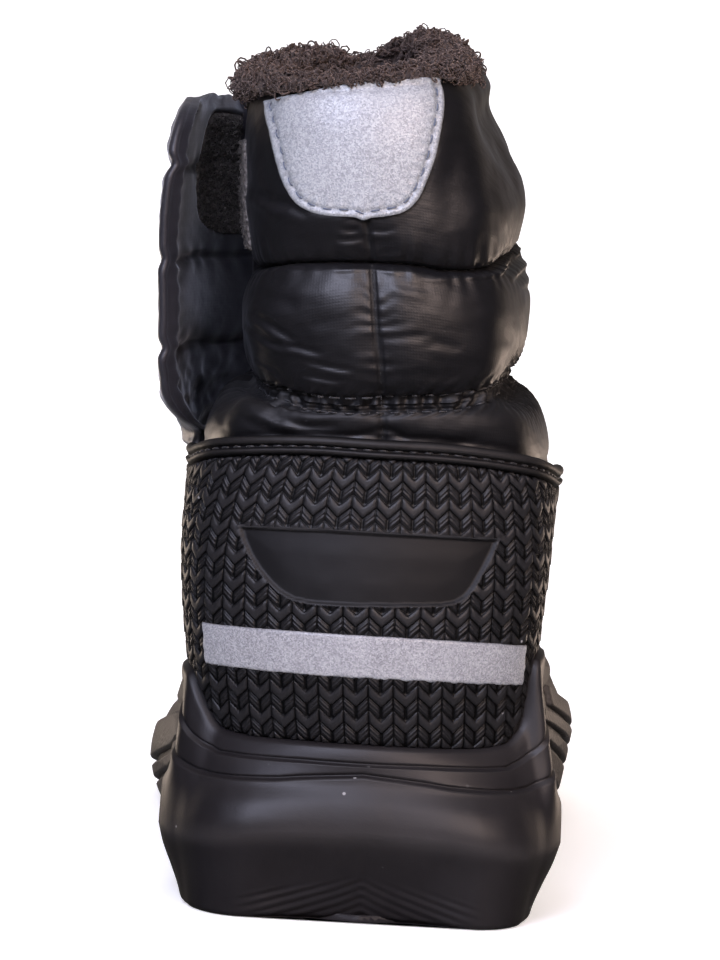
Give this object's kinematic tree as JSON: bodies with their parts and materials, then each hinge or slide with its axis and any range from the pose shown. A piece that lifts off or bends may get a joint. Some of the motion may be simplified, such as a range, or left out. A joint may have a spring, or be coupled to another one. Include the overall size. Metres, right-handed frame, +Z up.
{
  "type": "winter boot",
  "caption": "Child's padded winter boot, left foot: quilted shaft with a pile-lined collar, side flap left open, rubber heel counter and lugged rubber sole.",
  "frame": {"origin": "on the floor under the middle of the boot's box", "axes": "+Z up, +Y from heel to toe, +X to the wearer's right, which is the inner side of this left boot"},
  "size_m": [0.0931, 0.212, 0.1728],
  "materials": {
    "sole_rubber": "black moulded rubber, satin, with fine moulded texture and a trace of dust",
    "counter_rubber": "black rubber moulded with fine rows of chevrons, satin",
    "binding_rubber": "black rolled edge with a stitched groove, satin",
    "toe_rubber": "black moulded rubber, satin",
    "quilted_nylon": "black coated nylon over soft wadding, with a silky sheen",
    "dark_pile": "dark brown-black curly pile, matt",
    "footbed_felt": "dark felt, matt",
    "reflective_tape": "grey retroreflective tape with fine glass beads",
    "light_thread": "light grey sewing thread",
    "black_thread": "black sewing thread",
    "hook_tape": "black hook and loop tape, matt"
  },
  "bodies": {
    "root": {"outsole": "sole_rubber", "insole": "footbed_felt", "upper": "quilted_nylon", "heel_counter": "counter_rubber", "counter_binding": "binding_rubber", "toe_cap": "toe_rubber", "flap": "quilted_nylon", "fur_collar": "dark_pile"}
  },
  "joints": []
}
